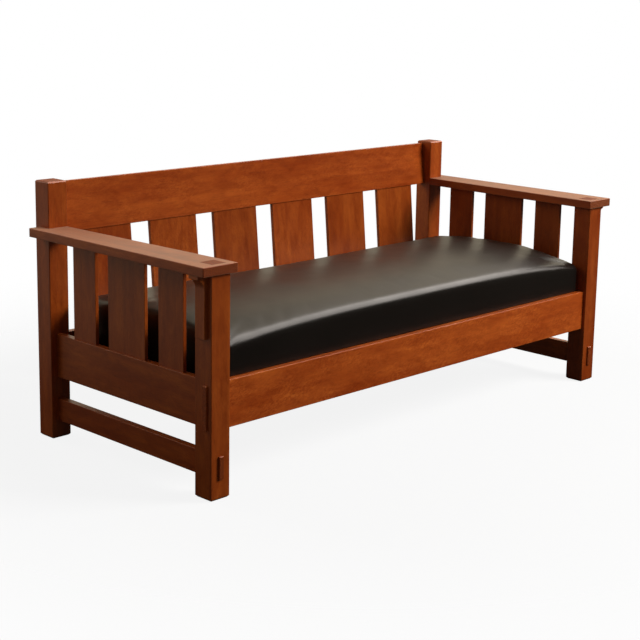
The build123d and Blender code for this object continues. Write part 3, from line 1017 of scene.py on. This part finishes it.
class SETTLE_OT_stage(bpy.types.Operator):
    """Sets out the pale floor, the soft lights, the pale surroundings and the camera"""

    bl_idname = "settle.stage"
    bl_label = "Stage"

    def execute(self, context):
        stage = settings("settle_stage")
        scene = context.scene
        bm = bmesh.new()
        bmesh.ops.create_circle(bm, cap_ends=True, segments=96, radius=FLOOR_RADIUS)
        floor = finish_mesh(bm, "floor", floor_material(stage), smooth=False)
        bm = bmesh.new()
        bmesh.ops.create_circle(bm, cap_ends=True, segments=96, radius=FLOOR_RADIUS)
        bmesh.ops.translate(bm, vec=(0, 0, CARD_LIFT), verts=bm.verts)
        card = finish_mesh(bm, "grey_card", card_material(stage), smooth=False)
        card.visible_camera = False
        card.visible_shadow = False
        scene.world = surroundings(stage)
        for name, (place, target, size) in LAMPS.items():
            soft_light(f"{name}_light", place, target, size, getattr(stage, f"{name}_power"))
        place_camera(stage)
        scene.view_settings.view_transform = "Standard"
        return {"FINISHED"}


def mirror_rays(tree):
    """1 for rays that a polished or clear face sends on, and 0 for the rest."""
    path = add_node(tree, "ShaderNodeLightPath").outputs
    return add_node(
        tree,
        "ShaderNodeMath",
        {0: path["Is Glossy Ray"], 1: path["Is Transmission Ray"]},
        operation="MAXIMUM",
    )


def floor_material(stage):
    """Matt pale paper that fades out into the pale surroundings, so that no horizon shows. It is clear from
    below, so that the underside of the settle can be seen."""
    material, tree = new_material("Pale matt paper floor")
    coordinates = add_node(tree, "ShaderNodeTexCoord").outputs["Object"]
    distance = add_node(tree, "ShaderNodeVectorMath", {0: coordinates}, operation="LENGTH").outputs["Value"]
    fade = add_node(
        tree,
        "ShaderNodeMapRange",
        {"Value": distance, "From Min": 1.1, "From Max": 2.6},
        interpolation_type="SMOOTHSTEP",
    )
    path = add_node(tree, "ShaderNodeLightPath").outputs
    seen = add_node(
        tree, "ShaderNodeMath", {0: path["Is Camera Ray"], 1: stage.floor_white}, operation="MULTIPLY"
    )
    paper = add_node(tree, "ShaderNodeBsdfDiffuse", {"Color": linear(stage.floor_hex)})
    white = add_node(tree, "ShaderNodeEmission", {"Strength": 1})
    lit = add_node(tree, "ShaderNodeMixShader", {0: seen, 1: paper, 2: white})
    below = add_node(tree, "ShaderNodeNewGeometry").outputs["Backfacing"]
    away = add_node(tree, "ShaderNodeMath", {0: fade, 1: below}, operation="MAXIMUM")
    clear = add_node(tree, "ShaderNodeBsdfTransparent")
    shader = add_node(tree, "ShaderNodeMixShader", {0: away, 1: lit, 2: clear})
    add_node(tree, "ShaderNodeOutputMaterial", {"Surface": shader})
    return material


def card_material(stage):
    """Matt grey card. Polished faces mirror it as a warm floor, dark in front and close by, and pale
    behind."""
    material, tree = new_material("Grey paper card")
    coordinates = add_node(tree, "ShaderNodeTexCoord").outputs["Object"]
    behind = add_node(tree, "ShaderNodeSeparateXYZ", {0: coordinates}).outputs["Y"]
    share = add_node(
        tree,
        "ShaderNodeMapRange",
        {"Value": behind, "From Min": -0.6, "From Max": 0.4, "To Min": 0.1, "To Max": 1},
        interpolation_type="SMOOTHSTEP",
    )
    distance = add_node(tree, "ShaderNodeVectorMath", {0: coordinates}, operation="LENGTH").outputs["Value"]
    far = add_node(
        tree,
        "ShaderNodeMapRange",
        {"Value": distance, "From Min": 1.3, "From Max": 3.4, "To Min": 0.04, "To Max": stage.card_glow},
    )
    glow = add_node(tree, "ShaderNodeMath", {0: share, 1: far}, operation="MULTIPLY")
    card = add_node(tree, "ShaderNodeBsdfDiffuse", {"Color": linear(stage.card_hex)})
    mirrored = add_node(tree, "ShaderNodeEmission", {"Color": linear(stage.warm_hex), "Strength": glow})
    shader = add_node(tree, "ShaderNodeMixShader", {0: mirror_rays(tree), 1: card, 2: mirrored})
    add_node(tree, "ShaderNodeOutputMaterial", {"Surface": shader})
    return material


def surroundings(stage):
    """White to the camera and a weak light on the settle. Polished faces mirror them as warm and pale behind
    and above, dim in front, and bright where the soft box hangs over the right-hand front corner."""
    world = bpy.data.worlds.new("Pale surroundings")
    world.use_nodes = True
    tree = world.node_tree
    tree.nodes.clear()
    direction = add_node(tree, "ShaderNodeTexCoord").outputs["Generated"]
    axes = add_node(tree, "ShaderNodeSeparateXYZ", {0: direction}).outputs
    behind = add_node(
        tree,
        "ShaderNodeMapRange",
        {
            "Value": axes["Y"],
            "From Min": -0.6,
            "From Max": 0.3,
            "To Min": stage.dim_front,
            "To Max": stage.mirrored,
        },
        interpolation_type="SMOOTHSTEP",
    )
    # The wall behind is lit in a band over the horizon, and is dimmer at the floor and overhead.
    height = add_node(
        tree,
        "ShaderNodeValToRGB",
        {0: axes["Z"]},
        stops=[(0, grey(0.25)), (0.12, grey(0.36)), (0.27, grey(1)), (0.46, grey(0.5)), (1, grey(0.45))],
    )
    pale = add_node(tree, "ShaderNodeMath", {0: behind, 1: height}, operation="MULTIPLY")
    nearness = add_node(
        tree, "ShaderNodeVectorMath", {0: direction, 1: SOFT_BOX_DIRECTION}, operation="DOT_PRODUCT"
    ).outputs["Value"]
    soft_box = add_node(
        tree,
        "ShaderNodeMapRange",
        {"Value": nearness, "From Min": 0.87, "From Max": 0.97, "To Min": 0, "To Max": stage.box_glow},
        interpolation_type="SMOOTHSTEP",
    )
    room = add_node(tree, "ShaderNodeBackground", {"Color": linear(stage.warm_hex), "Strength": pale})
    lamp = add_node(tree, "ShaderNodeBackground", {"Color": linear(stage.box_hex), "Strength": soft_box})
    mirrored = add_node(tree, "ShaderNodeAddShader", {0: room, 1: lamp})
    ambient = add_node(tree, "ShaderNodeBackground", {"Color": (1, 1, 1, 1), "Strength": stage.ambient})
    cast = add_node(tree, "ShaderNodeMixShader", {0: mirror_rays(tree), 1: ambient, 2: mirrored})
    white = add_node(tree, "ShaderNodeBackground", {"Color": (1, 1, 1, 1), "Strength": 1})
    path = add_node(tree, "ShaderNodeLightPath").outputs
    seen = add_node(tree, "ShaderNodeMixShader", {0: path["Is Camera Ray"], 1: cast, 2: white})
    add_node(tree, "ShaderNodeOutputWorld", {"Surface": seen})
    return world


def soft_light(name, place, target, size, power):
    """A large square lamp that faces a point. Polished faces mirror the surroundings in its place."""
    data = bpy.data.lights.new(name, "AREA")
    data.shape = "SQUARE"
    data.size = size
    data.energy = power
    lamp = bpy.data.objects.new(name, data)
    lamp.location = place
    aim = Vector(target) - Vector(place)
    lamp.rotation_euler = aim.to_track_quat("-Z", "Y").to_euler()
    lamp.visible_glossy = False
    bpy.context.scene.collection.objects.link(lamp)


def place_camera(stage):
    """The camera of the photograph: off the front left corner, well above the arms, turned a little down."""
    yaw, pitch, roll = 0.7967, 0.1923, -0.0172
    place = Vector((-3.3333, -3.1639, 1.4024))
    forward = Vector((math.sin(yaw) * math.cos(pitch), math.cos(yaw) * math.cos(pitch), -math.sin(pitch)))
    level = Vector((math.cos(yaw), -math.sin(yaw), 0))
    down = forward.cross(level)
    right = math.cos(roll) * level + math.sin(roll) * down
    up = math.sin(roll) * level - math.cos(roll) * down
    turn = Matrix((right, up, -forward)).transposed().to_4x4()
    data = bpy.data.cameras.new("photo_camera")
    data.sensor_width = 36
    data.lens = stage.lens / MM
    data.shift_y = -0.1
    data.clip_end = 60
    camera = bpy.data.objects.new("photo_camera", data)
    camera.matrix_world = Matrix.Translation(place) @ turn
    bpy.context.scene.collection.objects.link(camera)
    bpy.context.scene.camera = camera


class SETTLE_PT_panel(bpy.types.Panel):
    """Shows the settle's settings and steps in the sidebar"""

    bl_idname = "SETTLE_PT_panel"
    bl_label = "Mission settle"
    bl_space_type = "VIEW_3D"
    bl_region_type = "UI"
    bl_category = "Settle"

    def draw(self, context):
        for group in GROUPS:
            box = self.layout.box()
            holder = getattr(context.scene, group)
            for key in holder.__class__.__annotations__:
                box.prop(holder, key)
        for operator in OPERATORS:
            self.layout.operator(operator.bl_idname)


GROUPS = {
    "settle_wood": SettleWood,
    "settle_leather": SettleLeather,
    "settle_stage": SettleStage,
}
OPERATORS = (SETTLE_OT_boards, SETTLE_OT_deck, SETTLE_OT_cushion, SETTLE_OT_stage)


def register():
    """Registers the settings, operators and panel."""
    for name, group in GROUPS.items():
        bpy.utils.register_class(group)
        setattr(bpy.types.Scene, name, PointerProperty(type=group))
    for operator in OPERATORS:
        bpy.utils.register_class(operator)
    bpy.utils.register_class(SETTLE_PT_panel)


def unregister():
    """Takes the panel, operators and settings out again."""
    bpy.utils.unregister_class(SETTLE_PT_panel)
    for operator in reversed(OPERATORS):
        bpy.utils.unregister_class(operator)
    for name, group in GROUPS.items():
        delattr(bpy.types.Scene, name)
        bpy.utils.unregister_class(group)


def main():
    """Builds the settle."""
    register()
    bpy.ops.settle.boards()
    bpy.ops.settle.deck()
    bpy.ops.settle.cushion()
    bpy.ops.settle.stage()


if __name__ == "__main__":
    main()
